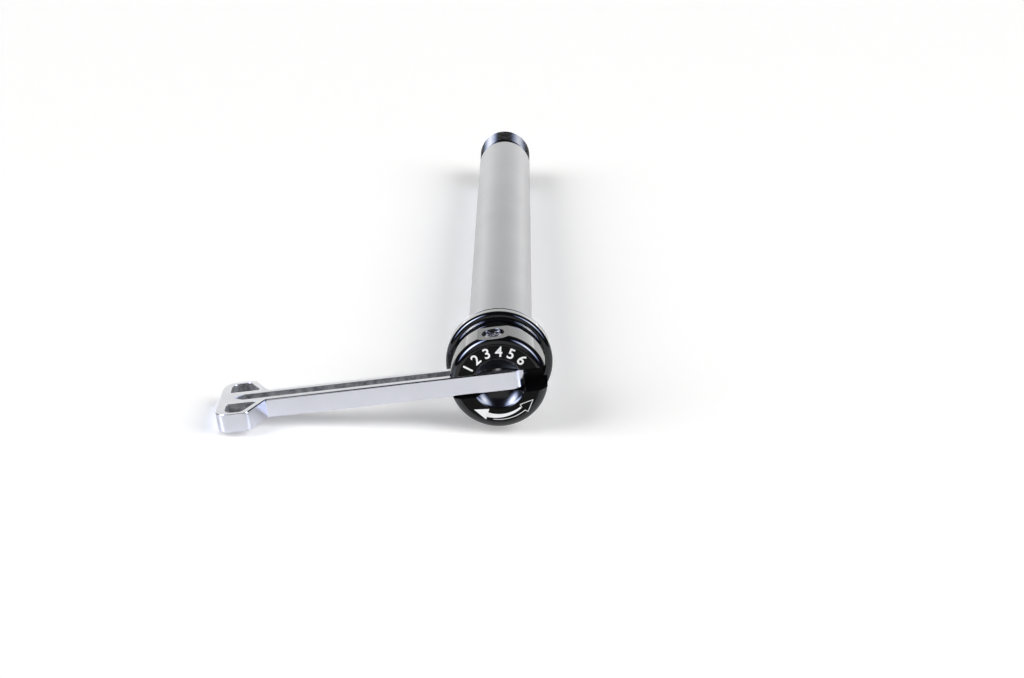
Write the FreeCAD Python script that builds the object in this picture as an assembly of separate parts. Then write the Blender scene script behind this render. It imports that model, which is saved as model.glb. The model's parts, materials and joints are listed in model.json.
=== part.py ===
import FreeCAD, Part
import math
import os

from FreeCAD import Vector

# Bicycle thru axle with a folding lever, in millimetres.
# The axle runs along +Y, its seat face is at Y = 0 and the head points to -Y.
# The lever lies in a plane that is rolled about the axle; roll-free shapes are
# built with the pivot along +Z and turned into place at the end.

# Axle tube
TUBE_R = 7.5
TUBE_WALL = 2.0
TUBE_END = 153.3
TUBE_NECK_STEP = 0.6
TUBE_SOCKET = 3.0
SOCKET_GAP = 0.02

# Threaded end
THREAD_REACH = 13.0
THREAD_STEP = 0.1
LEAD_IN_LENGTH = 1.1
LEAD_IN_DEPTH = 1.0
RELIEF_DEPTH = 0.7
RELIEF_WIDTH = 1.3
SPIGOT_WALL = 1.0
SPIGOT_LENGTH = 6.0

# Head: flange, neck groove and slotted cap
FLANGE_R = 12.15
FLANGE_RIM = 1.7
FLANGE_BEVEL = 1.25
SEAT_EDGE = 0.2
SEAT_RELIEF_GAP = 0.4
SEAT_RELIEF_DEPTH = 0.3
LAND_R = 10.7
LAND_WIDTH = 0.95
NECK_R = 9.7
NECK_WIDTH = 3.7
NECK_FOOT = 0.8
CAP_R = 10.95
CAP_LENGTH = 8.1
CAP_EDGE = 0.2
CAP_ROUND = 2.05
FLAT_DEPTH = 0.55
DISH_MOUTH_R = 5.9
DISH_BALL_R = 7.2
ROLL = 7.2

# Slot and lever
SIDE_GAP = 0.3
LEVER_T = 4.5
SLOT_EDGE = 0.2
SLOT_FLOOR_GAP = 0.8
PIVOT_DEPTH = 4.5
LEVER_OFFSET = 0.4
BAR_HALF = 2.75
TAIL_END = 5.65
TAIL_FLAT = 0.02
FACET_FOOT = 52.0
FACET_RUN = 3.6
PADDLE_LENGTH = 7.25
PADDLE_HALF = 9.45
PADDLE_CORNER = 2.8
SHOULDER_ROUND = 1.4
FOOT_ROUND = 0.5
LEVER_BEVEL = 0.28
GROOVE_HALF = 1.4
GROOVE_DEPTH = 1.6
GROOVE_TIP_WALL = 3.25
GROOVE_TAPER = 2.2
GROOVE_INNER = 5.5
GROOVE_END_FLAT = 0.02
GROOVE_TIP_ROUND = 0.3
POCKET_DEPTH = 2.8
POCKET_RIB = 1.9
POCKET_WALL = 1.5
POCKET_SIDE_WALL = 1.25
POCKET_END_WALL = 2.1
POCKET_END_ROUND = 2.0
POCKET_SIDE_ROUND = 1.2
POCKET_POINT_ROUND = 0.4

# Pivot screw
SHANK_R = 1.7
SHANK_RUN = 0.05
SHANK_END = 8.4
SCREW_HEAD_R = 2.3
SCREW_HEAD_GAP = 0.15
SCREW_SEAT_WALL = 3.05
SCREW_SINK = 0.6
SCREW_EDGE = 0.25
HEX_FLATS = 2.5
HEX_DEPTH = 1.8

# Sizes that follow from those above
TUBE_BORE_R = TUBE_R - TUBE_WALL
TUBE_NECK_R = TUBE_R - TUBE_NECK_STEP
SPIGOT_R = TUBE_BORE_R + SPIGOT_WALL
SPIGOT_START = TUBE_END - SPIGOT_LENGTH
THREAD_R = TUBE_R - THREAD_STEP
THREAD_END = TUBE_END + THREAD_REACH
LAND_FRONT = FLANGE_RIM + FLANGE_BEVEL + LAND_WIDTH
CAP_REAR = LAND_FRONT + NECK_WIDTH
FACE = CAP_REAR + CAP_LENGTH
FLAT_Z = CAP_R - FLAT_DEPTH
PIVOT_Y = PIVOT_DEPTH - FACE
SLOT_HALF = LEVER_T / 2 + SIDE_GAP
SLOT_FLOOR_Y = PIVOT_Y + TAIL_END + SLOT_FLOOR_GAP
PADDLE_SHOULDER = FACET_FOOT + FACET_RUN
PADDLE_END = PADDLE_SHOULDER + PADDLE_LENGTH
SCREW_SEAT = SLOT_HALF + SCREW_SEAT_WALL
SCREW_TOP = FLAT_Z - SCREW_SINK
EYE_R = SHANK_R + SHANK_RUN

ORIGIN = Vector(0, 0, 0)
Y_AXIS = Vector(0, 1, 0)
Z_AXIS = Vector(0, 0, 1)
SMALL = 1e-6


def turned(steps):
    """Solid of revolution about the axle; each step is a point, a line or an arc of (Y, radius) points."""
    edges = []
    last = None
    for step in steps:
        ends = [Vector(r, y, 0) for y, r in step]
        if last is not None and not last.isEqual(ends[0], SMALL):
            edges.append(Part.makeLine(last, ends[0]))
        if len(ends) == 3:
            edges.append(Part.Arc(*ends).toShape())
        elif len(ends) == 2:
            edges.append(Part.makeLine(ends[0], ends[1]))
        last = ends[-1]
    edges.append(Part.makeLine(last, edges[0].Vertexes[0].Point))
    return Part.Face(Part.Wire(edges)).revolve(ORIGIN, Y_AXIS, 360)


def quarter(y, r, radius):
    """Quarter round of a turned profile, from a rim of radius r at y towards -Y and the axis."""
    half = radius * math.sqrt(0.5)
    return [(y, r), (y - half, r - radius + half), (y - radius, r - radius)]


def rounded_outline(corners):
    """Closed wire in the XY plane through (x, y, radius) corners, each rounded by its radius."""
    arcs = []
    count = len(corners)
    for i, (x, y, radius) in enumerate(corners):
        here = Vector(x, y, 0)
        before = (Vector(*corners[i - 1][:2], 0) - here).normalize()
        after = (Vector(*corners[(i + 1) % count][:2], 0) - here).normalize()
        half_angle = before.getAngle(after) / 2
        reach = radius / math.tan(half_angle)
        inward = (before + after).normalize()
        middle = here + inward * (radius / math.sin(half_angle) - radius)
        arcs.append((here + before * reach, middle, here + after * reach))
    edges = [Part.Arc(*arc).toShape() for arc in arcs]
    for i in range(count):
        start = arcs[i - 1][2]
        end = arcs[i][0]
        if start.distanceToPoint(end) > SMALL:
            edges.append(Part.makeLine(start, end))
    return Part.Wire(Part.__sortEdges__(edges))


def pillar(wire, z0, z1):
    """Prism of an XY outline between two heights."""
    solid = Part.Face(wire).extrude(Vector(0, 0, z1 - z0))
    solid.translate(Vector(0, 0, z0))
    return solid


def post(radius, z0, z1):
    """Round post along the pivot axis."""
    return Part.makeCylinder(radius, z1 - z0, Vector(0, PIVOT_Y, z0), Z_AXIS)


def rolled(shape):
    """Turn a roll-free shape into the plane of the lever."""
    shape.rotate(ORIGIN, Y_AXIS, -ROLL)
    return shape


def make_tube():
    """Hollow axle tube with a neck for the head's socket and a bored-out far end."""
    return turned([
        [(-TUBE_SOCKET, TUBE_BORE_R)],
        [(-TUBE_SOCKET, TUBE_NECK_R), (0, TUBE_NECK_R)],
        [(0, TUBE_R), (TUBE_END, TUBE_R)],
        [(TUBE_END, SPIGOT_R + SOCKET_GAP), (SPIGOT_START, SPIGOT_R + SOCKET_GAP)],
        [(SPIGOT_START, TUBE_BORE_R)],
    ])


def make_thread_end():
    """Hollow end piece: spigot in the tube, relief groove, screwed length at its crest size and lead-in."""
    thread_start = TUBE_END + RELIEF_WIDTH
    relief_r = THREAD_R - RELIEF_DEPTH
    return turned([
        [(SPIGOT_START, TUBE_BORE_R)],
        [(SPIGOT_START, SPIGOT_R), (TUBE_END, SPIGOT_R)],
        [(TUBE_END, relief_r), (thread_start, relief_r)],
        [(thread_start, THREAD_R), (THREAD_END - LEAD_IN_LENGTH, THREAD_R)],
        [(THREAD_END, THREAD_R - LEAD_IN_DEPTH), (THREAD_END, TUBE_BORE_R)],
    ])


def make_head_blank():
    """Turned head: bevelled flange, land, neck groove and round-edged cap, with a socket for the tube."""
    socket_r = TUBE_NECK_R + SOCKET_GAP
    seat_r = TUBE_R + SEAT_RELIEF_GAP
    flange_front = -FLANGE_RIM - FLANGE_BEVEL
    return turned([
        [(-TUBE_SOCKET, 0)],
        [(-TUBE_SOCKET, socket_r), (-SEAT_RELIEF_DEPTH, socket_r)],
        [(-SEAT_RELIEF_DEPTH, seat_r), (0, seat_r)],
        [(0, FLANGE_R - SEAT_EDGE), (-SEAT_EDGE, FLANGE_R)],
        [(-FLANGE_RIM, FLANGE_R), (flange_front, FLANGE_R - FLANGE_BEVEL)],
        [(flange_front, LAND_R), (-LAND_FRONT, LAND_R)],
        [(-LAND_FRONT, NECK_R), (-CAP_REAR + NECK_FOOT, NECK_R)],
        [(-CAP_REAR, NECK_R + NECK_FOOT)],
        [(-CAP_REAR, CAP_R - CAP_EDGE), (-CAP_REAR - CAP_EDGE, CAP_R)],
        quarter(-FACE + CAP_ROUND, CAP_R, CAP_ROUND),
        [(-FACE, 0)],
    ])


def make_slot():
    """Cutter for the lever's slot, open to both sides and to the front, with broken edges at the face."""
    left = -2 * CAP_R
    half = [(-FACE, SLOT_HALF + SLOT_EDGE), (-FACE + SLOT_EDGE, SLOT_HALF), (SLOT_FLOOR_Y, SLOT_HALF)]
    section = half + [(y, -z) for y, z in reversed(half)]
    corners = [Vector(left, y, z) for y, z in section + section[:1]]
    return Part.Face(Part.makePolygon(corners)).extrude(Vector(-2 * left, 0, 0))


def make_head():
    """Head with the lever's slot, the finger dish, the top flat and the screw's stepped hole."""
    left = -2 * CAP_R
    flat = Part.makeBox(-2 * left, FACE - LAND_FRONT, CAP_R, Vector(left, -FACE, FLAT_Z))
    ball_y = -FACE - math.sqrt(DISH_BALL_R ** 2 - DISH_MOUTH_R ** 2)
    dish = Part.makeSphere(DISH_BALL_R, Vector(0, ball_y, 0))
    shank_hole = post(EYE_R, -SHANK_END, SCREW_SEAT)
    head_hole = post(SCREW_HEAD_R + SCREW_HEAD_GAP, SCREW_SEAT, CAP_R)
    return rolled(make_head_blank().cut([make_slot(), flat, dish, shank_hole, head_hole]))


def make_screw():
    """Pivot screw with a hexagon socket, its head sunk below the flat."""
    shank = post(SHANK_R, -SHANK_END, SCREW_SEAT)
    cap = post(SCREW_HEAD_R, SCREW_SEAT, SCREW_TOP)
    rim = [e for e in cap.Edges if e.BoundBox.ZMin > SCREW_TOP - SMALL]
    cap = cap.makeChamfer(SCREW_EDGE, rim)
    corner = Vector(HEX_FLATS / math.sqrt(3), 0, 0)
    centre = Vector(0, PIVOT_Y, 0)
    turns = [FreeCAD.Rotation(Z_AXIS, 60 * i) for i in range(7)]
    hexagon = Part.makePolygon([centre + turn.multVec(corner) for turn in turns])
    socket = pillar(hexagon, SCREW_TOP - HEX_DEPTH, SCREW_TOP)
    return rolled(shank.fuse(cap).removeSplitter().cut(socket))


def lever_outline():
    """Plan of the lever: round tail, straight bar and T-shaped paddle."""
    half = [
        (TAIL_END, BAR_HALF, BAR_HALF - TAIL_FLAT / 2),
        (-FACET_FOOT, BAR_HALF, FOOT_ROUND),
        (-PADDLE_SHOULDER, PADDLE_HALF, SHOULDER_ROUND),
        (-PADDLE_END, PADDLE_HALF, PADDLE_CORNER),
    ]
    return rounded_outline(half + [(x, -y, r) for x, y, r in reversed(half)])


def pocket_outline(side):
    """Plan of one paddle pocket, its slanted side parallel to the paddle's facet."""
    inner = GROOVE_HALF + POCKET_RIB
    outer = PADDLE_HALF - POCKET_SIDE_WALL
    end_x = -PADDLE_END + POCKET_END_WALL
    rise = PADDLE_HALF - BAR_HALF
    foot_x = -FACET_FOOT - POCKET_WALL * math.hypot(FACET_RUN, rise) / rise
    inner_x = foot_x - FACET_RUN * (inner - BAR_HALF) / rise
    outer_x = foot_x - FACET_RUN * (outer - BAR_HALF) / rise
    return rounded_outline([
        (end_x, side * inner, POCKET_POINT_ROUND),
        (end_x, side * outer, POCKET_END_ROUND),
        (outer_x, side * outer, POCKET_SIDE_ROUND),
        (inner_x, side * inner, POCKET_POINT_ROUND),
    ])


def groove_outline():
    """Plan of the long groove: pointed at the paddle, round at the pivot."""
    tip_x = -PADDLE_END + GROOVE_TIP_WALL
    half = [
        (-GROOVE_INNER, GROOVE_HALF, GROOVE_HALF - GROOVE_END_FLAT / 2),
        (tip_x + GROOVE_TAPER, GROOVE_HALF, GROOVE_TIP_ROUND),
    ]
    tip = [(tip_x, 0, GROOVE_TIP_ROUND)]
    return rounded_outline(half + tip + [(x, -y, r) for x, y, r in reversed(half)])


def make_lever():
    """Lever with bevelled edges, grip pockets, groove and pivot eye."""
    top = LEVER_T / 2
    body = pillar(lever_outline(), -top, top)
    rims = [e for e in body.Edges if e.BoundBox.ZLength < LEVER_BEVEL]
    body = body.makeChamfer(LEVER_BEVEL, rims)
    cuts = [pillar(groove_outline(), top - GROOVE_DEPTH, top)]
    for side in (1, -1):
        cuts.append(pillar(pocket_outline(side), top - POCKET_DEPTH, top))
    body = body.cut(cuts)
    body.translate(Vector(0, PIVOT_Y - LEVER_OFFSET, 0))
    return rolled(body.cut(post(EYE_R, -top, top)))


def main():
    """Build every piece and write its solid."""
    os.makedirs("parts", exist_ok=True)
    make_tube().exportStep("parts/axle_tube.step")
    make_thread_end().exportStep("parts/thread_end.step")
    make_head().exportStep("parts/head.step")
    make_screw().exportStep("parts/pivot_screw.step")
    make_lever().exportStep("parts/lever.step")


main()
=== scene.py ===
import json
import logging
import math
from dataclasses import dataclass
from enum import Enum
from functools import cache
from typing import Callable, Sequence

import bpy
from bpy.types import ID, Material, Node, NodeTree
from bpy.types import NodeSocket as Socket, Object as Item
from mathutils import Matrix, Vector

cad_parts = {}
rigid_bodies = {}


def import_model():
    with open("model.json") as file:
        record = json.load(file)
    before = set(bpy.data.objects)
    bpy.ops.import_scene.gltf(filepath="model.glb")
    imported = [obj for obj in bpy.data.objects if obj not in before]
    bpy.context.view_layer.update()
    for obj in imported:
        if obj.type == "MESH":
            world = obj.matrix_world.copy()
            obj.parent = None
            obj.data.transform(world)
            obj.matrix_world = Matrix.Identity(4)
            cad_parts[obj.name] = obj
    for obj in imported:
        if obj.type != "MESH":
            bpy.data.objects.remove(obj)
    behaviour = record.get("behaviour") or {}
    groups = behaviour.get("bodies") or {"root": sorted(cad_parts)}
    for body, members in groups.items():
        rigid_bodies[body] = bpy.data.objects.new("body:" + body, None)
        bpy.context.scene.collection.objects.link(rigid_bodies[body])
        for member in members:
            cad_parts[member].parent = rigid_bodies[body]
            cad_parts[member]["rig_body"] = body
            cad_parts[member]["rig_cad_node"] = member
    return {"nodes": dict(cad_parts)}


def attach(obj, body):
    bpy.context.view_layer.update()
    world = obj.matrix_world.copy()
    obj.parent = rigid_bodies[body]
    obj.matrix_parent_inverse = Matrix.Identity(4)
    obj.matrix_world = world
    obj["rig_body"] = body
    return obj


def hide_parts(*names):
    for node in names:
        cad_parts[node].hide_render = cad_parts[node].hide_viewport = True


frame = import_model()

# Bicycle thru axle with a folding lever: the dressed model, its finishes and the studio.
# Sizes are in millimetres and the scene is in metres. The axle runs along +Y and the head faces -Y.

log = logging.getLogger("thru_axle")

# Metres in a millimetre, the distance at which points merge, and the width of an empty sliver.
MM = 0.001
MERGE = 0.0005 * MM
SLIVER = 0.002 * MM
# The roll of the head and the lever about the axle, and where the pivot and the head's face stand.
ROLL = math.radians(7.2)
PIVOT_Y = -11.2
FACE_Y = -15.7
# Small and larger spare room in millimetres, and the most that a rim's face leans along the axle.
HAIR = 0.01
SLACK = 0.1
RIM_LEAN = 0.06
# A turn that stands the Y axis upright, and one that lays the axes X, Y and Z along Y, Z and X.
UPRIGHT = (math.pi / 2, 0.0, 0.0)
ACROSS = Matrix(((0, 0, 1, 0), (1, 0, 0, 0), (0, 1, 0, 0), (0, 0, 0, 1)))
WHITE = (1.0, 1.0, 1.0)

Point = tuple[float, float]
Points = tuple[Point, ...]
Triple = tuple[float, float, float]
FaceTest = Callable[[Vector, Vector], bool]


class Body(Enum):
    """Moving bodies that pieces ride on."""

    AXLE = "axle"
    LEVER = "lever"


class Slot(Enum):
    """Finish slots of the record."""

    TUBE = "tube_silver"
    THREAD = "thread_black"
    HEAD = "head_black"
    SCREW = "screw_dark"
    LEVER = "lever_chrome"


class Section(Enum):
    """How a turned profile closes: as a ring round a bore, or as a solid with filled ends."""

    RING = "ring"
    SOLID = "solid"


class PanelShape(Enum):
    """Shapes of the studio's panels, by Blender's names."""

    RECTANGLE = "RECTANGLE"
    ELLIPSE = "ELLIPSE"


def pick(piece: Item) -> None:
    """Make one piece the only selected and active one."""
    bpy.ops.object.select_all(action="DESELECT")
    piece.select_set(True)
    bpy.context.view_layer.objects.active = piece


def added(data: ID) -> Item:
    """Put an object into the scene that has the name of its data."""
    made = bpy.data.objects.new(data.name, data)
    bpy.context.scene.collection.objects.link(made)
    return made


def joined(pieces: Sequence[Item]) -> Item:
    """Join pieces into the first of them.

    Args:
        pieces: The objects to join.

    Returns:
        The first piece.
    """
    pick(pieces[0])
    for piece in pieces:
        piece.select_set(True)
    bpy.ops.object.join()
    return pieces[0]


def open_mesh() -> None:
    """Open edit mode on the active piece with every point selected."""
    bpy.ops.object.mode_set(mode="EDIT")
    bpy.ops.mesh.select_mode(type="VERT")
    bpy.ops.mesh.select_all(action="SELECT")


def close_mesh() -> None:
    """Turn all faces outwards and leave edit mode."""
    bpy.ops.mesh.select_all(action="SELECT")
    bpy.ops.mesh.normals_make_consistent(inside=False)
    bpy.ops.object.mode_set(mode="OBJECT")


def named(name: str) -> Item:
    """Name the active object and its mesh."""
    piece = bpy.context.object
    piece.name = piece.data.name = name
    return piece


def place(piece: Item, turn: Triple = (0.0, 0.0, 0.0), move: Triple = (0.0, 0.0, 0.0)) -> None:
    """Turn and move a piece, and keep the new place in its mesh.

    Args:
        piece: The object to place.
        turn: Turns about X, Y and Z in radians.
        move: Travel in millimetres.
    """
    pick(piece)
    piece.rotation_euler = turn
    piece.location = Vector(move) * MM
    bpy.ops.object.transform_apply()


def apply_modifier(piece: Item, kind: str, **settings: object) -> None:
    """Add a modifier to a piece and apply it at once.

    Args:
        piece: The object to change.
        kind: Blender's name of the modifier type.
        settings: Values of the modifier's properties.
    """
    pick(piece)
    modifier = piece.modifiers.new(kind.lower(), kind)
    for name, value in settings.items():
        setattr(modifier, name, value)
    bpy.ops.object.modifier_apply(modifier=modifier.name)


def smooth(piece: Item) -> None:
    """Shade a piece smooth but for its sharp edges, with broad faces leading the normals.

    Args:
        piece: The object to shade.
    """
    pick(piece)
    bpy.ops.object.shade_smooth_by_angle(angle=math.radians(30.0))
    apply_modifier(piece, "WEIGHTED_NORMAL", mode="FACE_AREA", weight=50, keep_sharp=True)


def carve(piece: Item, cutter: Item, operation: str = "DIFFERENCE") -> None:
    """Cut a piece with another closed mesh, which is then removed."""
    apply_modifier(piece, "BOOLEAN", object=cutter, operation=operation, solver="EXACT")
    bpy.data.objects.remove(cutter)


def tidy_mesh(piece: Item) -> None:
    """Merge double points, drop the empty faces that cuts leave and turn all faces outwards.

    Args:
        piece: The object to tidy.
    """
    pick(piece)
    open_mesh()
    bpy.ops.mesh.remove_doubles(threshold=MERGE)
    bpy.ops.mesh.dissolve_degenerate(threshold=SLIVER)
    close_mesh()


def eased(profile: Sequence[Point], size: float) -> list[Point]:
    """Break the sharp corners of an open profile by a small bevel.

    Args:
        profile: Points in millimetres.
        size: Length taken off each side of a corner.

    Returns:
        The profile with two points at each sharp corner.
    """
    blunt = math.radians(155.0)
    largest_share = 0.4
    points = [Vector(point) for point in profile]
    made = [tuple(points[0])]
    for last, here, following in zip(points, points[1:], points[2:]):
        before, after = last - here, following - here
        if before.angle(after) > blunt:
            made.append(tuple(here))
            continue
        for side in (before, after):
            made.append(tuple(here + side.normalized() * min(size, side.length * largest_share)))
    return [*made, tuple(points[-1])]


def turned(name: str, profile: Sequence[Point], sides: int, section: Section) -> Item:
    """Turn a profile about the axle: a ring is extruded and resized from point to point.

    Args:
        name: The piece's name.
        profile: (Y, radius) points in millimetres.
        sides: Number of points round the ring.
        section: How the profile closes.

    Returns:
        The turned piece.
    """
    last_y, radius = profile[0]
    bpy.ops.mesh.primitive_circle_add(
        vertices=sides, radius=radius * MM, location=(0, last_y * MM, 0), rotation=UPRIGHT)
    piece = named(name)
    bpy.ops.object.transform_apply()
    open_mesh()
    steps = list(profile[1:])
    if section is Section.RING:
        steps.append(profile[0])
    for y, next_radius in steps:
        bpy.ops.mesh.extrude_region_move(TRANSFORM_OT_translate={"value": (0, (y - last_y) * MM, 0)})
        factor = next_radius / radius
        bpy.ops.transform.resize(value=(factor, 1, factor), center_override=(0, y * MM, 0))
        last_y, radius = y, next_radius
    bpy.ops.mesh.select_all(action="SELECT")
    bpy.ops.mesh.remove_doubles(threshold=MERGE)
    if section is Section.SOLID:
        bpy.ops.mesh.fill_holes(sides=0)
    close_mesh()
    return piece


def rounded_outline(corners: Sequence[Triple]) -> list[Point]:
    """Round the corners of a closed outline.

    Args:
        corners: (x, y, radius) of each corner in millimetres.

    Returns:
        The outline's points.
    """
    largest_turn = math.radians(4.0)
    made: list[Point] = []
    for index, (x, y, radius) in enumerate(corners):
        here = Vector((x, y))
        before = (Vector(corners[index - 1][:2]) - here).normalized()
        after = (Vector(corners[(index + 1) % len(corners)][:2]) - here).normalized()
        half = before.angle(after) / 2
        centre = here + (before + after).normalized() * (radius / math.sin(half))
        reach = radius / math.tan(half)
        first = here + before * reach - centre
        last = here + after * reach - centre
        start = math.atan2(first.y, first.x)
        sweep = (math.atan2(last.y, last.x) - start + math.pi) % math.tau - math.pi
        runs = max(2, math.ceil(abs(sweep) / largest_turn))
        for run in range(runs + 1):
            angle = start + sweep * run / runs
            made.append((centre.x + radius * math.cos(angle), centre.y + radius * math.sin(angle)))
    return made


def prism(name: str, outline: Sequence[Point], low: float, high: float) -> Item:
    """Extrude a closed outline upwards.

    Args:
        name: The piece's name.
        outline: Points in millimetres.
        low: Height of its underside.
        high: Height of its top.

    Returns:
        The closed piece.
    """
    bpy.ops.mesh.primitive_circle_add(vertices=len(outline), radius=MM, fill_type="NGON")
    piece = named(name)
    for vertex, (x, y) in zip(piece.data.vertices, outline):
        vertex.co = (x * MM, y * MM, low * MM)
    open_mesh()
    bpy.ops.mesh.remove_doubles(threshold=SLIVER)
    bpy.ops.mesh.extrude_region_move(TRANSFORM_OT_translate={"value": (0, 0, (high - low) * MM)})
    close_mesh()
    return piece


def round_rims(piece: Item, width: float, share: Callable[[Vector], float]) -> None:
    """Round the edges that a test picks, each by its own share of a width.

    Args:
        piece: The object to change.
        width: The full width in millimetres.
        share: Takes an edge's middle in millimetres; 0 leaves the edge sharp.
    """
    mesh = piece.data
    sharp = math.cos(math.radians(60.0))
    normals: dict[tuple[int, int], list[Vector]] = {}
    for face in mesh.polygons:
        for key in face.edge_keys:
            normals.setdefault(key, []).append(face.normal)
    weights = mesh.attributes.new("bevel_weight_edge", "FLOAT", "EDGE")
    for edge in mesh.edges:
        ends = [mesh.vertices[index].co for index in edge.vertices]
        first, second = normals[edge.key]
        corner = first.dot(second) < sharp and abs(ends[0].z - ends[1].z) < 2 * MERGE
        weights.data[edge.index].value = share((ends[0] + ends[1]) / 2 / MM) if corner else 0.0
    apply_modifier(piece, "BEVEL", limit_method="WEIGHT", width=width * MM, segments=3,
                   use_clamp_overlap=False)
    mesh = piece.data
    if "bevel_weight_edge" in mesh.attributes:
        mesh.attributes.remove(mesh.attributes["bevel_weight_edge"])


def assign(piece: Item, material: Material, test: FaceTest) -> None:
    """Give a material of its own to the faces that pass a test.

    Args:
        piece: The finished piece, which has its first material already.
        material: The material for those faces.
        test: Takes a face's middle in millimetres and its normal, both without the roll.
    """
    piece.data.materials.append(material)
    index = len(piece.data.materials) - 1
    level = Matrix.Rotation(ROLL, 3, "Y")
    for face in piece.data.polygons:
        if test(level @ face.center / MM, level @ face.normal):
            face.material_index = index


@dataclass(frozen=True)
class Link:
    """A small helper that adds and joins the nodes of one tree."""

    tree: NodeTree

    def feed(self, target: Socket, value: object) -> None:
        """Join an output socket to an input, or set the input to a plain value."""
        if isinstance(value, Socket):
            self.tree.links.new(value, target)
        else:
            target.default_value = value

    def fill(self, node: Node, **inputs: object) -> None:
        """Feed a node's inputs; spaces in an input's name are written as underscores."""
        for name, value in inputs.items():
            self.feed(node.inputs[name.replace("_", " ")], value)

    def node(self, kind: str, settings: dict[str, object] | None = None, **inputs: object) -> Node:
        """Add a shader node and feed its inputs.

        Args:
            kind: The node's type, without the ShaderNode before it.
            settings: Properties of the node.
            inputs: Sockets or plain values.

        Returns:
            The new node.
        """
        made = self.tree.nodes.new(f"ShaderNode{kind}")
        for name, value in (settings or {}).items():
            setattr(made, name, value)
        self.fill(made, **inputs)
        return made

    def maths(self, operation: str, *values: object, kind: str = "Math") -> Socket:
        """Add a maths node.

        Args:
            operation: Blender's name of the operation.
            values: Sockets or plain values, in order.
            kind: Math, or VectorMath for an operation that makes a value of vectors.

        Returns:
            The value socket of the result.
        """
        made = self.node(kind, {"operation": operation})
        for target, value in zip(made.inputs, values):
            self.feed(target, value)
        return made.outputs["Value"]

    def remap(self, value: Socket, start: Point, result: Point) -> Socket:
        """Map a value from the range it starts in onto the range of the result, clamped."""
        made = self.node("MapRange", {"clamp": True}, Value=value, From_Min=start[0], From_Max=start[1],
                         To_Min=result[0], To_Max=result[1])
        return made.outputs["Result"]

    def mix(self, factor: Socket, first: Triple, second: Triple) -> Socket:
        """Mix two colours by a factor: the first at 0, the second at 1."""
        made = self.node("Mix", {"data_type": "RGBA"}, Factor=factor, A=(*first, 1.0), B=(*second, 1.0))
        return made.outputs["Result"]


PanelNodes = tuple[Link, Socket, Node]


def new_material(name: str, **inputs: object) -> tuple[Material, Link, Node]:
    """Start a material.

    Args:
        name: The material's name.
        inputs: Plain values for its shader, with spaces in an input's name as underscores.

    Returns:
        The material, the helper for its nodes and its shader.
    """
    made = bpy.data.materials.new(name)
    made.use_nodes = True
    link = Link(made.node_tree)
    shader = made.node_tree.nodes["Principled BSDF"]
    link.fill(shader, **inputs)
    return made, link, shader


class Effects:
    """Shader groups that several finishes share."""

    def __init__(self) -> None:
        """Build each shared group once."""
        self.smudge_group = self.smudges()
        self.line_group = self.lines()

    @staticmethod
    def group(name: str, inputs: dict[str, float | Triple], output: str) -> tuple[
            Link, dict[str, Socket], Socket]:
        """Start a shader group with one value as its output.

        Args:
            name: The group's name.
            inputs: The default of each input: a number, or three of them for a vector.
            output: The output's name.

        Returns:
            The helper for its nodes, its input sockets by name and its output socket.
        """
        tree = bpy.data.node_groups.new(name, "ShaderNodeTree")
        for label, value in inputs.items():
            kind = "NodeSocketFloat" if isinstance(value, float) else "NodeSocketVector"
            tree.interface.new_socket(label, in_out="INPUT", socket_type=kind).default_value = value
        tree.interface.new_socket(output, in_out="OUTPUT", socket_type="NodeSocketFloat")
        entry = tree.nodes.new("NodeGroupInput")
        leave = tree.nodes.new("NodeGroupOutput")
        return Link(tree), {label: entry.outputs[label] for label in inputs}, leave.inputs[output]

    def smudges(self) -> NodeTree:
        """Soft uneven patches of handling, as a value from 0 to 1.

        Returns:
            The shader group.
        """
        link, source, target = self.group("smudges", {"Vector": (0.0, 0.0, 0.0), "Scale": 150.0}, "Amount")
        broad = link.node("TexNoise", **source, Detail=3.0, Roughness=0.55)
        finer = link.maths("MULTIPLY", source["Scale"], 6.0)
        fine = link.node("TexNoise", Vector=source["Vector"], Scale=finer, Detail=2.0, Roughness=0.6)
        both = link.maths("ADD", link.maths("MULTIPLY", broad.outputs[0], 0.7),
                          link.maths("MULTIPLY", fine.outputs[0], 0.3))
        link.feed(target, link.remap(both, (0.35, 0.65), (0.0, 1.0)))
        return link.tree

    def lines(self) -> NodeTree:
        """Fine tool lines or grain along a stretched coordinate, as a height from 0 to 1.

        Returns:
            The shader group.
        """
        link, source, target = self.group(
            "tool_lines", {"Vector": (0.0, 0.0, 0.0), "Stretch": (1.0, 1.0, 1.0), "Scale": 1000.0}, "Height")
        scaled = link.node("Mapping", Vector=source["Vector"], Scale=source["Stretch"]).outputs[0]
        noise = link.node("TexNoise", Vector=scaled, Scale=source["Scale"], Detail=4.0, Roughness=0.65)
        link.feed(target, noise.outputs[0])
        return link.tree


@cache
def shared_effects() -> Effects:
    """Build the shared groups at the first call."""
    return Effects()


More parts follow.
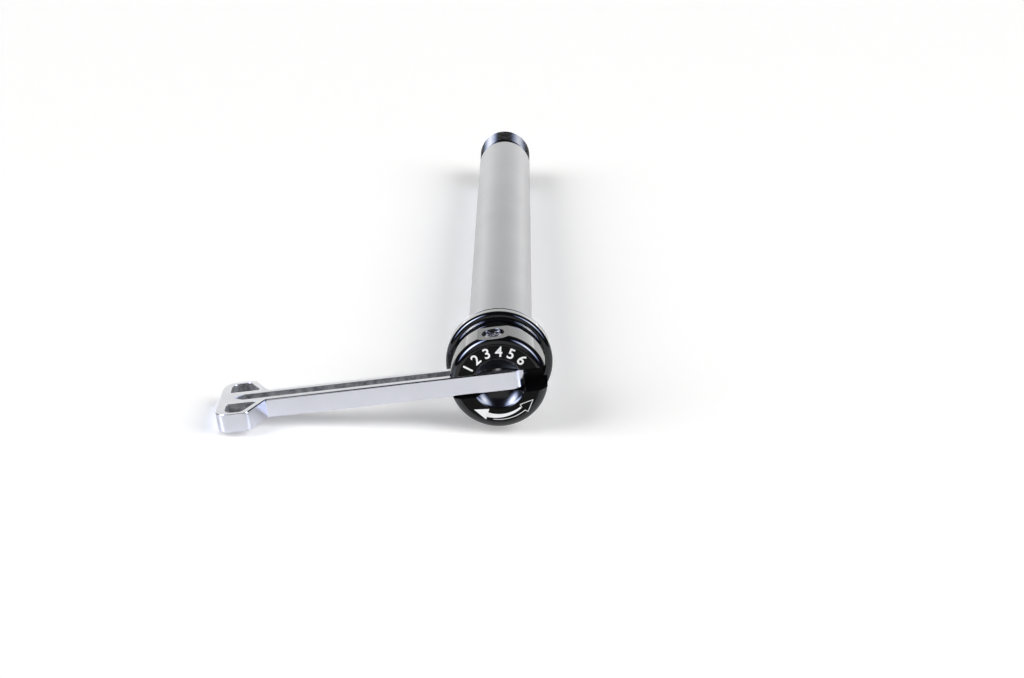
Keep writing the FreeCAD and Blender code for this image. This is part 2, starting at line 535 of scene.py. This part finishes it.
@dataclass(frozen=True)
class Finish:
    """A metal or paint finish with uneven gloss, a slight change of tone and fine lines or grain."""

    name: str
    colour: Triple
    metallic: float
    gloss: Point
    ior: float = 1.5
    coat: float = 0.0
    tint: float = 0.05
    smudge_scale: float = 80.0
    line_stretch: Triple = (1.0, 1.0, 1.0)
    line_scale: float = 4000.0
    line_depth: float = 5e-7

    def material(self) -> Material:
        """Build the finish's material.

        Returns:
            The material.
        """
        effects = shared_effects()
        made, link, shader = new_material(self.name, Metallic=self.metallic, IOR=self.ior)
        if self.coat:
            link.fill(shader, Coat_Weight=1.0, Coat_IOR=self.coat)
        spot = link.node("TexCoord").outputs["Object"]
        smudge = link.node("Group", {"node_tree": effects.smudge_group}, Vector=spot, Scale=self.smudge_scale)
        lines = link.node("Group", {"node_tree": effects.line_group}, Vector=spot,
                          Stretch=self.line_stretch, Scale=self.line_scale)
        bump = link.node("Bump", Distance=self.line_depth, Height=lines.outputs["Height"])
        amount = smudge.outputs["Amount"]
        darker = tuple(channel * (1.0 - self.tint) for channel in self.colour)
        link.fill(shader, Roughness=link.remap(amount, (0.0, 1.0), self.gloss),
                  Base_Color=link.mix(amount, self.colour, darker), Normal=bump.outputs["Normal"])
        return made


SATIN_SILVER = Finish("satin_silver", (0.43, 0.43, 0.432), 0.65, (0.28, 0.32), tint=0.03, smudge_scale=60.0,
                      line_stretch=(1.0, 0.02, 1.0), line_scale=5000.0, line_depth=1e-6)
GLOSS_BLACK = Finish("gloss_black", (0.003, 0.003, 0.004), 0.0, (0.06, 0.1), ior=1.46, tint=0.3)
BAND_BLACK = Finish("band_black", (0.003, 0.003, 0.004), 0.0, (0.05, 0.08), ior=2.95, tint=0.3)
RIM_BLACK = Finish("rim_black", (0.003, 0.003, 0.004), 0.0, (0.05, 0.08), ior=3.5, coat=2.2, tint=0.3)
SOFT_BLACK = Finish("soft_black", (0.003, 0.003, 0.005), 0.0, (0.17, 0.22), ior=1.45, tint=0.3)
CHARCOAL_FACE = Finish("charcoal_face", (0.003, 0.003, 0.0027), 0.0, (0.24, 0.3), ior=1.18, tint=0.3,
                       line_depth=2e-6)
BLACK_THREAD = Finish("black_thread", (0.004, 0.004, 0.004), 0.0, (0.12, 0.17), ior=1.38, tint=0.3)
DARK_STEEL = Finish("dark_steel", (0.65, 0.64, 0.63), 1.0, (0.15, 0.3), smudge_scale=200.0)
BRIGHT_SIDES = Finish("bright_sides", (0.62, 0.63, 0.69), 1.0, (0.1, 0.16), line_stretch=(0.05, 1.0, 1.0))
# The lever's top: a rougher satin finish, which is real, and a base colour lighter than the sides', which is
# painted light on the top.
SATIN_TOP_PAINTED_LIGHT = Finish("satin_top_painted_light", (0.95, 0.95, 0.95), 1.0, (0.28, 0.36), line_stretch=(0.05, 1.0, 1.0),
                   smudge_scale=300.0, tint=0.06, line_depth=1e-6)
CAST_RECESS = Finish("cast_recess", (0.44, 0.44, 0.445), 0.35, (0.3, 0.5), tint=0.75, smudge_scale=700.0,
                     line_stretch=(0.3, 1.0, 1.0), line_scale=1500.0, line_depth=5e-5)
WHITE_INK = Finish("white_ink", (0.86, 0.86, 0.86), 0.0, (0.45, 0.55), line_depth=1e-6)


def dress(piece: Item, material: Material, body: Body) -> None:
    """Give a piece its first material and its body, and report it.

    Args:
        piece: The finished piece.
        material: Its material.
        body: The body that it moves with.
    """
    piece.data.materials.clear()
    piece.data.materials.append(material)
    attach(piece, body.value)
    log.info("%s: %d faces on %s", piece.name, len(piece.data.polygons), body.value)


@dataclass
class AxleTube:
    """The hollow silver tube."""

    radius: float = 7.5
    bore: float = 5.5
    end: float = 153.3
    neck: float = 6.9
    socket: float = 3.0
    spigot: float = 6.52
    spigot_start: float = 147.3
    edge: float = 0.2
    sides: int = 160

    def build(self) -> Item:
        """Turn the tube from its profile.

        Returns:
            The tube piece.
        """
        profile = [
            (-self.socket, self.bore), (-self.socket, self.neck), (0.0, self.neck), (0.0, self.radius),
            (self.end - self.edge, self.radius), (self.end, self.radius - self.edge),
            (self.end, self.spigot), (self.spigot_start, self.spigot), (self.spigot_start, self.bore),
        ]
        piece = turned("tube", profile, self.sides, Section.RING)
        smooth(piece)
        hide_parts("axle_tube")
        return piece

    def make(self) -> None:
        """Build and dress the tube."""
        dress(self.build(), SATIN_SILVER.material(), Body.AXLE)


@dataclass
class FarEnd:
    """The hollow screwed end, with a helical thread on a turned core."""

    start: float = 147.3
    bore: float = 5.5
    bore_edge: float = 0.25
    spigot: float = 6.5
    relief_start: float = 153.3
    relief: float = 6.6
    thread_start: float = 154.6
    run_in: Point = (0.1, 0.6)
    crest: float = 7.4
    root: float = 6.75
    sunk: float = 0.05
    lead_start: float = 165.2
    end: float = 166.3
    end_radius: float = 6.4
    ridge_short: float = 0.03
    pitch: float = 1.5
    rounds: int = 9
    flank: float = 0.8
    foot_share: float = 0.49
    sides: int = 128
    screw_steps: int = 72

    def core(self) -> Item:
        """Turn the core that carries the thread.

        Returns:
            The core piece.
        """
        lead_root = self.end - (self.root - self.end_radius)
        profile = [
            (self.start, self.bore), (self.start, self.spigot), (self.relief_start, self.spigot),
            (self.relief_start, self.relief), (self.thread_start, self.relief),
            (self.thread_start, self.root), (lead_root, self.root), (self.end, self.end_radius),
            (self.end, self.bore + self.bore_edge), (self.end - self.bore_edge, self.bore),
        ]
        return turned("far_end", profile, self.sides, Section.RING)

    def ridge(self) -> Item:
        """Wind the thread's ridge as a screw and trim it to the thread's outside.

        Returns:
            The ridge piece.
        """
        first, full = (self.thread_start + run for run in self.run_in)
        spot = (self.root - self.sunk, self.thread_start - self.run_in[1], 0.0)
        bpy.ops.mesh.primitive_circle_add(vertices=4, radius=MM, location=Vector(spot) * MM)
        piece = named("thread_ridge")
        piece.scale = (self.flank, self.foot_share * self.pitch, 1.0)
        bpy.ops.object.transform_apply()
        apply_modifier(piece, "SCREW", axis="Y", angle=math.tau, screw_offset=self.pitch * MM,
                       iterations=self.rounds, steps=self.screw_steps, render_steps=self.screw_steps,
                       use_merge_vertices=True, merge_threshold=MERGE / 5)
        open_mesh()
        bpy.ops.mesh.fill_holes(sides=0)
        close_mesh()
        outside = turned("thread_outside", [
            (first, self.root), (full, self.crest), (self.lead_start, self.crest),
            (self.end - self.ridge_short, self.end_radius)], self.sides, Section.SOLID)
        carve(piece, outside, "INTERSECT")
        tidy_mesh(piece)
        return piece

    def make(self) -> None:
        """Join the core and the ridge, and dress them."""
        piece = joined([self.core(), self.ridge()])
        smooth(piece)
        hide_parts("thread_end")
        dress(piece, BLACK_THREAD.material(), Body.AXLE)


@dataclass
class SlottedHead:
    """The turned black head with the lever's slot, the finger dish, the top flat and the screw's hole."""

    socket: Points = ((-3.0, 0.6), (-3.0, 6.92), (-0.3, 6.92), (-0.3, 7.9), (0.0, 7.9))
    flange: float = 12.15
    flange_rear: Points = (
        (0.0, 0.2), (-0.06, 0.08), (-0.26, 0.08), (-0.3, 0.7), (-0.84, 0.7), (-0.88, 0.0))
    rim: float = 2.4
    bevel: float = 1.25
    bevel_steps: int = 10
    land: float = 10.7
    land_front: float = 4.2
    neck: float = 9.7
    cap_rear: float = 7.6
    foot: float = 0.8
    cap: float = 10.95
    cap_edge: float = 0.2
    cap_round: float = 2.05
    cap_steps: int = 14
    core: float = 0.6
    flat: float = 10.4
    dish_mouth: float = 5.9
    dish_ball: float = 7.2
    dish_lip: Points = ((-3.0, 3.1), (0.08, 0.02))
    dish_tip: float = 0.08
    dish_steps: int = 28
    slot: float = 2.55
    slot_edge: float = 0.2
    slot_floor: float = -4.75
    screw_seat: float = 5.6
    screw_hole: float = 2.45
    hole_lip: Points = ((-0.08, 0.0), (2.0, 2.08))
    shank_hole: float = 1.75
    shank_end: float = -8.4
    edge: float = 0.06
    beyond: float = 20.0
    sides: int = 192
    dish_sides: int = 144
    hole_sides: int = 72

    @property
    def ball_y(self) -> float:
        """Where the middle of the dish's ball lies."""
        return FACE_Y - math.sqrt(self.dish_ball ** 2 - self.dish_mouth ** 2)

    @staticmethod
    def quarter(start: float, rim: float, radius: float, steps: int) -> list[Point]:
        """Points (Y, radius) of a quarter round that leaves a rim at its start, towards the face."""
        turns = [math.pi / 2 * index / steps for index in range(steps + 1)]
        return [(start - radius * math.sin(turn), rim - radius * (1.0 - math.cos(turn))) for turn in turns]

    def blank(self) -> Item:
        """Turn the head without its cuts.

        Returns:
            The turned blank.
        """
        rear = -self.cap_rear
        edges = eased([
            *self.socket, *((y, self.flange - inset) for y, inset in self.flange_rear),
            *self.quarter(-self.rim, self.flange, self.bevel, self.bevel_steps),
            (-self.rim - self.bevel, self.land), (-self.land_front, self.land),
            (-self.land_front, self.neck), (rear + self.foot, self.neck), (rear, self.neck + self.foot),
            (rear, self.cap - self.cap_edge), (rear - self.cap_edge, self.cap),
            *self.quarter(FACE_Y + self.cap_round, self.cap, self.cap_round, self.cap_steps),
            (FACE_Y, self.core),
        ], self.edge)
        return turned("slotted_head", edges, self.sides, Section.SOLID)

    def slot_cutter(self) -> Item:
        """Model the slot's cutter with flared lips at the face.

        Returns:
            The cutter.
        """
        flare = 2 * self.slot_edge
        lip = FACE_Y + self.slot_edge
        half = [(self.slot_floor, self.slot), (lip, self.slot), (lip - flare, self.slot + flare)]
        outline = [*half, *((y, -z) for y, z in reversed(half))]
        piece = prism("slot_cutter", outline, -self.beyond, self.beyond)
        piece.data.transform(ACROSS)
        return piece

    def dish_cutter(self) -> Item:
        """Turn the dish's cutter, with a slight bevel at the mouth.

        Returns:
            The cutter.
        """
        profile = [(FACE_Y + y, self.dish_mouth + out) for y, out in self.dish_lip]
        start = math.asin(self.dish_mouth / self.dish_ball)
        for index in range(1, self.dish_steps + 1):
            turn = start - (start - self.dish_tip) * index / self.dish_steps
            profile.append((self.ball_y + self.dish_ball * math.cos(turn), self.dish_ball * math.sin(turn)))
        return turned("dish_cutter", profile, self.dish_sides, Section.SOLID)

    def hole_cutter(self) -> Item:
        """Turn the screw hole's stepped cutter and stand it on the pivot.

        Returns:
            The cutter.
        """
        profile = [
            (self.shank_end, self.shank_hole), (self.screw_seat, self.shank_hole),
            (self.screw_seat, self.screw_hole),
            *((self.flat + up, self.screw_hole + out) for up, out in self.hole_lip),
        ]
        piece = turned("hole_cutter", profile, self.hole_sides, Section.SOLID)
        place(piece, turn=UPRIGHT, move=(0.0, PIVOT_Y, 0.0))
        return piece

    def on_face(self, spot: Vector, normal: Vector) -> bool:
        """Tell whether a face lies on the head's flat front."""
        return normal.y < -0.99 and spot.y < FACE_Y + 2 * HAIR

    def in_dish(self, spot: Vector, normal: Vector) -> bool:
        """Tell whether a face lies on the dish's bowl."""
        off = spot - Vector((0.0, self.ball_y, 0.0))
        return abs(off.length - self.dish_ball) < 3 * HAIR and normal.dot(off) < -0.95 * off.length

    def on_band(self, spot: Vector, normal: Vector) -> bool:
        """Tell whether a face lies on the cap's polished rim, or on its flat."""
        out = Vector((spot.x, 0.0, spot.z))
        on_cap = spot.y < -self.land_front and out.length > self.flat - SLACK
        return on_cap and abs(normal.y) < RIM_LEAN and normal.dot(out) > 0.9 * out.length

    def on_rim(self, spot: Vector, normal: Vector) -> bool:
        """Tell whether a face lies on the flange's polished rim."""
        return abs(normal.y) < RIM_LEAN and math.hypot(spot.x, spot.z) > self.land + 5 * SLACK

    def build(self) -> Item:
        """Cut the blank and roll it into the lever's plane.

        Returns:
            The head piece.
        """
        piece = self.blank()
        reach = self.beyond
        rear = -(self.land_front + self.cap_rear) / 2
        outline = [(-reach, -reach), (reach, -reach), (reach, rear), (-reach, rear)]
        carve(piece, prism("flat_cutter", outline, self.flat, reach))
        carve(piece, self.dish_cutter())
        carve(piece, self.slot_cutter())
        carve(piece, self.hole_cutter())
        tidy_mesh(piece)
        place(piece, turn=(0.0, -ROLL, 0.0))
        smooth(piece)
        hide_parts("head")
        return piece

    def make(self) -> None:
        """Build and dress the head: gloss black, with a dull face, a soft dish and polished rims."""
        piece = self.build()
        dress(piece, GLOSS_BLACK.material(), Body.AXLE)
        for finish, test in ((CHARCOAL_FACE, self.on_face), (SOFT_BLACK, self.in_dish),
                             (BAND_BLACK, self.on_band), (RIM_BLACK, self.on_rim)):
            assign(piece, finish.material(), test)


@dataclass
class FacePrint:
    """The white print on the head's face: a dial of numbers and a double-headed arrow."""

    digits: str = "123456"
    digit_size: float = 3.35
    digit_base: float = 6.5
    digit_weight: float = 0.05
    first: float = 152.0
    last: float = 48.0
    inner: float = 7.3
    outer_start: float = 8.4
    outer_end: float = 7.7
    band_turn: Point = (251.0, 311.0)
    outline: float = 8.6
    outline_turn: Point = (262.0, 313.0)
    open_head: Points = ((6.54, -6.63), (7.6, -3.78), (4.78, -4.96), (5.17, -5.66))
    full_head: Points = ((-5.46, -6.23), (-2.1, -6.06), (-2.8, -8.6))
    line_width: float = 0.13
    least_lean: float = 0.35
    thick: float = 0.02
    gap: float = 0.002

    def lift(self, piece: Item) -> Item:
        """Stand a flat shape on the face, as a mesh with its place applied.

        Args:
            piece: A text or curve object in the XY plane.

        Returns:
            The mesh piece.
        """
        piece.data.extrude = self.thick / 2 * MM
        pick(piece)
        bpy.ops.object.convert(target="MESH")
        made = bpy.context.object
        turn = Matrix.Rotation(math.pi / 2, 4, "X")
        spot = Matrix.Translation((0.0, (FACE_Y - self.thick / 2 - self.gap) * MM, 0.0))
        made.matrix_world = spot @ turn @ made.matrix_world
        bpy.ops.object.transform_apply()
        return made

    def digit(self, sign: str, degrees: float) -> Item:
        """Write one number on its arc.

        Args:
            sign: The number.
            degrees: Its angle round the face.

        Returns:
            The mesh piece.
        """
        data = bpy.data.curves.new(f"digit_{sign}", "FONT")
        data.body = sign
        data.align_x = "CENTER"
        data.size = self.digit_size * MM
        data.offset = self.digit_weight * MM
        made = added(data)
        angle = math.radians(degrees)
        made.location = Vector((math.cos(angle), math.sin(angle), 0.0)) * self.digit_base * MM
        made.rotation_euler = (0.0, 0.0, angle - math.pi / 2)
        bpy.context.view_layer.update()
        return self.lift(made)

    def flat_shape(self, name: str, outline: Sequence[Point]) -> Item:
        """Fill a closed outline.

        Args:
            name: The shape's name.
            outline: Its (x, z) points in millimetres.

        Returns:
            The mesh piece.
        """
        data = bpy.data.curves.new(name, "CURVE")
        data.dimensions = "2D"
        data.fill_mode = "BOTH"
        spline = data.splines.new("POLY")
        spline.points.add(len(outline) - 1)
        for point, (x, z) in zip(spline.points, outline):
            point.co = (x * MM, z * MM, 0.0, 1.0)
        spline.use_cyclic_u = True
        return self.lift(added(data))

    @staticmethod
    def sweep(start: Point, end: Point) -> list[Point]:
        """Points along an arc round the face's middle.

        Args:
            start: (radius, degrees) at its start.
            end: (radius, degrees) at its end.

        Returns:
            The arc's (x, z) points.
        """
        steps = 24
        made = []
        for index in range(steps + 1):
            share = index / steps
            radius = start[0] + (end[0] - start[0]) * share
            angle = math.radians(start[1] + (end[1] - start[1]) * share)
            made.append((radius * math.cos(angle), radius * math.sin(angle)))
        return made

    def stroke(self, points: Sequence[Point]) -> list[Point]:
        """Widen an open line into a closed outline, with mitred corners.

        Args:
            points: The line's (x, z) points.

        Returns:
            The outline's points.
        """
        line = [Vector(point) for point in points]
        left, right = [], []
        for index, here in enumerate(line):
            back = (here - line[max(index - 1, 0)]).normalized()
            ahead = (line[min(index + 1, len(line) - 1)] - here).normalized()
            along = (back + ahead).normalized()
            across = Vector((-along.y, along.x))
            lean = max(self.least_lean, abs(along.dot(ahead if ahead.length else back)))
            offset = across * (self.line_width / 2 / lean)
            left.append(tuple(here + offset))
            right.append(tuple(here - offset))
        return left + right[::-1]

    def arrow(self) -> list[Item]:
        """Draw the arrow: a filled head and a tapering band on the left, an open head on the right.

        Returns:
            The mesh pieces.
        """
        start, end = self.band_turn
        band = self.sweep((self.inner, start), (self.inner, end))
        band += self.sweep((self.outer_end, end), (self.outer_start, start))
        start, end = self.outline_turn
        line = [*self.sweep((self.outline, start), (self.outline, end)), *self.open_head]
        return [
            self.flat_shape("arrow_band", band),
            self.flat_shape("arrow_line", self.stroke(line)),
            self.flat_shape("arrow_left", self.full_head),
        ]

    def make(self) -> None:
        """Draw the print, join it and dress it."""
        step = (self.last - self.first) / (len(self.digits) - 1)
        pieces = [self.digit(sign, self.first + step * index) for index, sign in enumerate(self.digits)]
        pieces += self.arrow()
        tidy_mesh(joined(pieces))
        dress(named("face_print"), WHITE_INK.material(), Body.AXLE)


@dataclass
class PivotScrew:
    """The dark screw that the lever turns on."""

    node: str = "pivot_screw"
    flat: float = math.radians(0.4)

    def build(self) -> Item:
        """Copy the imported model's screw, merge its loose triangles and join its flat ones.

        Returns:
            The screw piece.
        """
        pick(frame["nodes"][self.node])
        bpy.ops.object.duplicate()
        piece = named("screw")
        piece.parent = None
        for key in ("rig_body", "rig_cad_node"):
            if key in piece:
                del piece[key]
        open_mesh()
        bpy.ops.mesh.remove_doubles(threshold=MERGE)
        bpy.ops.mesh.dissolve_limited(angle_limit=self.flat)
        bpy.ops.object.mode_set(mode="OBJECT")
        smooth(piece)
        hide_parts(self.node)
        return piece

    def make(self) -> None:
        """Build and dress the screw."""
        dress(self.build(), DARK_STEEL.material(), Body.AXLE)


@dataclass
class FoldLever:
    """The silver lever: round tail, grooved bar and T-shaped grip with two pockets."""

    line_y: float = -11.85
    top: float = 2.25
    tail: float = 5.65
    bar: float = 3.0
    facet_foot: float = -52.0
    facet_run: float = 3.6
    shoulder_round: float = 1.4
    grip_end: float = -62.85
    grip: float = 9.2
    grip_corner: float = 2.8
    rim: float = 0.36
    grip_share: float = 0.45
    under_share: float = 1.5
    recess_share: float = 0.2
    groove: float = 1.4
    groove_depth: float = 1.6
    groove_tip: float = -59.6
    groove_taper: float = 2.2
    groove_inner: float = -5.5
    pocket_depth: float = 2.8
    pocket_inner: float = 3.3
    pocket_outer: float = 8.2
    pocket_end: float = -60.75
    pocket_wall: float = 1.5
    eye: float = 1.75
    eye_reach: float = 4.0
    eye_sides: int = 48
    foot_round: float = 0.5
    groove_round: float = 0.3
    pocket_rounds: tuple[float, ...] = (0.4, 2.0, 1.2, 0.4)
    floor_round: float = 0.3
    facet_wall: float = 0.8
    recess_foot: float = -0.7
    above: float = 1.0

    @property
    def shoulder(self) -> float:
        """Where the grip's slanted facet meets its side."""
        return self.facet_foot - self.facet_run

    @property
    def facet_slope(self) -> float:
        """Run of the facet along the lever for each millimetre to the side."""
        return self.facet_run / (self.grip - self.bar)

    @staticmethod
    def mirrored(half: Sequence[Triple], tip: Sequence[Triple] = ()) -> list[Point]:
        """Add a tip and the other side's corners to one side's, and round them all."""
        return rounded_outline([*half, *tip, *((x, -y, radius) for x, y, radius in reversed(half))])

    def blank(self) -> Item:
        """Extrude the lever's plan, without its recesses."""
        return prism("fold_lever", self.mirrored([
            (self.tail, self.bar, self.bar - HAIR), (self.facet_foot, self.bar, self.foot_round),
            (self.shoulder, self.grip, self.shoulder_round), (self.grip_end, self.grip, self.grip_corner),
        ]), -self.top, self.top)

    def in_pocket(self, x: float, side: float) -> bool:
        """Tell whether a place, at x and to the side of the middle line, lies in a pocket's plan."""
        behind_facet = x < self.facet_foot - self.facet_wall - (side - self.bar) * self.facet_slope
        return self.pocket_inner - SLACK < side < self.pocket_outer + SLACK and behind_facet

    def rim_share(self, spot: Vector) -> float:
        """Give an edge's share of the full rim width: least in a recess, most under the grip.

        Args:
            spot: The edge's middle in millimetres, in the lever's own plan.

        Returns:
            The share, which is over 1 under the grip.
        """
        if abs(spot.z) < self.top - HAIR:
            return 0.0
        side = abs(spot.y)
        in_eye = side < self.eye + 5 * SLACK and spot.x < self.eye + SLACK
        if spot.x > self.pocket_end - SLACK and (self.in_pocket(spot.x, side) or in_eye):
            return self.recess_share
        along = min(1.0, max(0.0, (spot.x - self.facet_foot) / self.facet_run + 1.0))
        grip = self.grip_share if spot.z > 0.0 else self.under_share
        return grip + (1.0 - grip) * along

    def groove_cutter(self) -> Item:
        """Extrude the groove's plan: round at the pivot, pointed at the grip.

        Returns:
            The cutter.
        """
        shoulder = self.groove_tip + self.groove_taper
        outline = self.mirrored(
            [(self.groove_inner, self.groove, self.groove - HAIR),
             (shoulder, self.groove, self.groove_round)],
            [(self.groove_tip, 0.0, self.groove_round)])
        return prism("groove_cutter", outline, self.top - self.groove_depth, self.top + self.above)

    def pocket_cutter(self, side: int) -> Item:
        """Extrude one pocket's plan, slanted along the facet, with a rounded floor.

        Args:
            side: 1 for the rear pocket, -1 for the front one.

        Returns:
            The cutter.
        """
        slant = math.hypot(1.0, self.facet_slope)
        foot = self.facet_foot - self.pocket_wall * slant
        inner_x = foot - self.facet_slope * (self.pocket_inner - self.bar)
        outer_x = foot - self.facet_slope * (self.pocket_outer - self.bar)
        places = [(self.pocket_end, self.pocket_inner), (self.pocket_end, self.pocket_outer),
                  (outer_x, self.pocket_outer), (inner_x, self.pocket_inner)]
        corners = [(x, side * y, radius) for (x, y), radius in zip(places, self.pocket_rounds)]
        floor = self.top - self.pocket_depth
        piece = prism(f"pocket_cutter_{side}", rounded_outline(corners), floor, self.top + self.above)
        round_rims(piece, self.floor_round, lambda spot: 1.0 if spot.z < floor + HAIR else 0.0)
        return piece

    def in_recess(self, spot: Vector) -> bool:
        """Tell whether a face lies in the groove or in a pocket.

        Args:
            spot: The face's middle in millimetres, without the roll.

        Returns:
            True inside a recess.
        """
        side = abs(spot.y - self.line_y)
        in_groove = side < self.groove + 5 * HAIR and spot.x < self.groove_inner + SLACK
        sunk = self.recess_foot < spot.z < self.top - 8 * HAIR and spot.x > self.pocket_end - SLACK
        return sunk and (in_groove or self.in_pocket(spot.x, side))

    def on_top(self, spot: Vector, normal: Vector) -> bool:
        """Tell whether a face lies on the lever's flat top."""
        return normal.z > 0.99 and spot.z > self.top - 5 * HAIR

    def build(self) -> Item:
        """Cut the recesses and the eye, ease the edges and lay the lever in the slot.

        Returns:
            The lever piece.
        """
        piece = self.blank()
        carve(piece, self.groove_cutter())
        for side in (1, -1):
            carve(piece, self.pocket_cutter(side))
        reach = [(-self.eye_reach, self.eye), (self.eye_reach, self.eye)]
        eye = turned("eye_cutter", reach, self.eye_sides, Section.SOLID)
        place(eye, turn=UPRIGHT, move=(0.0, PIVOT_Y - self.line_y, 0.0))
        carve(piece, eye)
        round_rims(piece, self.rim, self.rim_share)
        place(piece, turn=(0.0, -ROLL, 0.0), move=(0.0, self.line_y, 0.0))
        smooth(piece)
        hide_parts("lever")
        return piece

    def make(self) -> None:
        """Build and dress the lever: bright sides, a satin top whose lighter tone than the sides is painted
        light, and rough cast recesses.
        """
        piece = self.build()
        dress(piece, BRIGHT_SIDES.material(), Body.LEVER)
        # The flat top gets a lighter tone than the sides: painted light falling on the top.
        assign(piece, SATIN_TOP_PAINTED_LIGHT.material(), self.on_top)
        assign(piece, CAST_RECESS.material(), lambda spot, normal: self.in_recess(spot))


@dataclass
class Studio:
    """Floor, backdrop, lamps, world and camera."""

    camera_place: Triple = (4.856, -421.17, 170.35)
    pitch: float = 0.3752
    yaw: float = -0.0047
    lens: float = 69.92
    sensor: float = 36.0
    clip_start: float = 0.01
    floor_normal: Triple = (0.0329, -0.0287, 1.0)
    floor_place: Triple = (0.0, -0.2, -12.21)
    floor_size: float = 8.0
    dome: float = 6.0

    def camera(self) -> None:
        """Set the camera at the fitted place."""
        data = bpy.data.cameras.new("camera")
        data.lens = self.lens
        data.sensor_width = self.sensor
        data.clip_start = self.clip_start
        made = added(data)
        made.location = Vector(self.camera_place) * MM
        made.rotation_euler = (math.pi / 2 - self.pitch, 0.0, -self.yaw)
        bpy.context.scene.camera = made

    def floor(self) -> None:
        """Lay the white floor under the flange, the far end and the grip; far away it glows."""
        bpy.ops.mesh.primitive_grid_add(x_subdivisions=8, y_subdivisions=8, size=self.floor_size)
        made = named("floor")
        turn = Vector((0.0, 0.0, 1.0)).rotation_difference(Vector(self.floor_normal)).to_matrix().to_4x4()
        made.matrix_world = Matrix.Translation(Vector(self.floor_place) * MM) @ turn
        material, link, shader = new_material(
            "floor_white", Base_Color=(0.9, 0.895, 0.89, 1.0), Roughness=0.3, Specular_IOR_Level=0.15,
            Emission_Color=(*WHITE, 1.0))
        spot = link.node("TexCoord").outputs["Object"]
        depth = link.node("SeparateXYZ", Vector=spot).outputs["Y"]
        reach = link.maths("LENGTH", spot, kind="VectorMath")
        near = link.remap(depth, (-0.11, 0.41), (0.245, 0.125))
        far = link.remap(reach, (0.55, 1.3), (0.0, 0.45))
        link.fill(shader, Emission_Strength=link.maths("ADD", near, far))
        made.data.materials.append(material)

    def backdrop(self) -> None:
        """Close the room with a white dome behind the floor, which lights nothing."""
        bpy.ops.mesh.primitive_uv_sphere_add(segments=64, ring_count=32, radius=self.dome)
        made = named("backdrop")
        material, _, _ = new_material(
            "backdrop_white", Base_Color=(0.0, 0.0, 0.0, 1.0), Specular_IOR_Level=0.0,
            Emission_Color=(*WHITE, 1.0), Emission_Strength=0.98)
        made.data.materials.append(material)
        made.visible_diffuse = made.visible_glossy = made.visible_shadow = False

    def panel(self, name: str, shape: PanelShape, direction: Triple, distance: float, size: Point,
              radiance: float) -> PanelNodes:
        """Hang a soft panel that faces the object and only shows in its reflections.

        Args:
            name: The lamp's name.
            shape: Its shape.
            direction: From the object to the panel.
            distance: How far away it hangs, in metres.
            size: Its width and height in metres.
            radiance: How bright its face is.

        Returns:
            The helper for its nodes, the place on its face from 0 to 1, and its shader.
        """
        data = bpy.data.lights.new(name, "AREA")
        data.shape = shape.value
        data.size, data.size_y = size
        area = size[0] * size[1] * (math.pi / 4 if shape is PanelShape.ELLIPSE else 1.0)
        data.energy = radiance * math.pi * area
        made = added(data)
        made.visible_camera = made.visible_diffuse = False
        aim = Vector(direction).normalized()
        made.location = aim * distance
        made.rotation_euler = aim.to_track_quat("Z", "Y").to_euler()
        data.use_nodes = True
        link = Link(data.node_tree)
        return link, link.node("NewGeometry").outputs["Parametric"], link.tree.nodes["Emission"]

    def fade(self, panel: PanelNodes, edge: Triple) -> None:
        """Let a panel fade from its middle to a tinted rim.

        Args:
            panel: What hanging it returned.
            edge: The colour of its rim.
        """
        link, spot, shader = panel
        reach = link.maths("DISTANCE", spot, (0.5, 0.5, 0.0), kind="VectorMath")
        core = link.remap(reach, (0.0, 0.5), (1.0, 0.0))
        link.fill(shader, Color=link.mix(core, edge, WHITE), Strength=core)

    def grade(self, panel: PanelNodes, low: float, high: float) -> None:
        """Let a panel darken upwards.

        Args:
            panel: What hanging it returned.
            low: Its strength at the foot.
            high: Its strength at the top.
        """
        link, spot, shader = panel
        height = link.node("SeparateXYZ", Vector=spot).outputs["Y"]
        link.fill(shader, Strength=link.remap(height, (0.0, 1.0), (low, high)))

    def lamps(self) -> None:
        """Hang the panels, and shine the lamps that cast the shadows and show in no reflection."""
        back = self.panel("panel_back", PanelShape.RECTANGLE, direction=(0.0, 0.95, 0.29), distance=1.6,
                          size=(2.6, 1.15), radiance=1.0)
        self.grade(back, low=1.67, high=0.25)
        self.panel("panel_front", PanelShape.RECTANGLE, direction=(0.0, -0.9, 0.5), distance=1.8,
                   size=(2.6, 1.2), radiance=0.75)
        for word, side, radiance in (("left", -1, 55.0), ("right", 1, 34.0)):
            panel = self.panel(f"panel_{word}", PanelShape.ELLIPSE, direction=(side * 0.74, -0.27, 0.62),
                               distance=2.0, size=(1.1, 2.4), radiance=radiance)
            self.fade(panel, edge=(0.35, 0.5, 1.0))
            sun = bpy.data.lights.new(f"lamp_{word}", "SUN")
            sun.energy = 2.3
            sun.angle = 0.75
            lamp = added(sun)
            lamp.rotation_euler = Vector((side * 0.75, -0.3, 0.58)).to_track_quat("Z", "Y").to_euler()
            lamp.visible_glossy = False

    def world(self) -> None:
        """Fill the room with dim even light."""
        made = bpy.data.worlds.new("room")
        made.use_nodes = True
        link = Link(made.node_tree)
        link.fill(link.tree.nodes["Background"], Color=(0.9, 0.95, 1.0, 1.0), Strength=0.03)
        bpy.context.scene.world = made

    def make(self) -> None:
        """Set up the whole studio."""
        self.camera()
        self.floor()
        self.backdrop()
        self.lamps()
        self.world()
        bpy.context.scene.view_settings.view_transform = "Standard"


def main() -> None:
    """Build every piece in order, then the studio."""
    logging.basicConfig(level=logging.INFO, format="%(message)s")
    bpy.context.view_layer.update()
    for part in (AxleTube(), FarEnd(), SlottedHead(), FacePrint(), PivotScrew(), FoldLever(), Studio()):
        part.make()


if __name__ == "__main__":
    main()
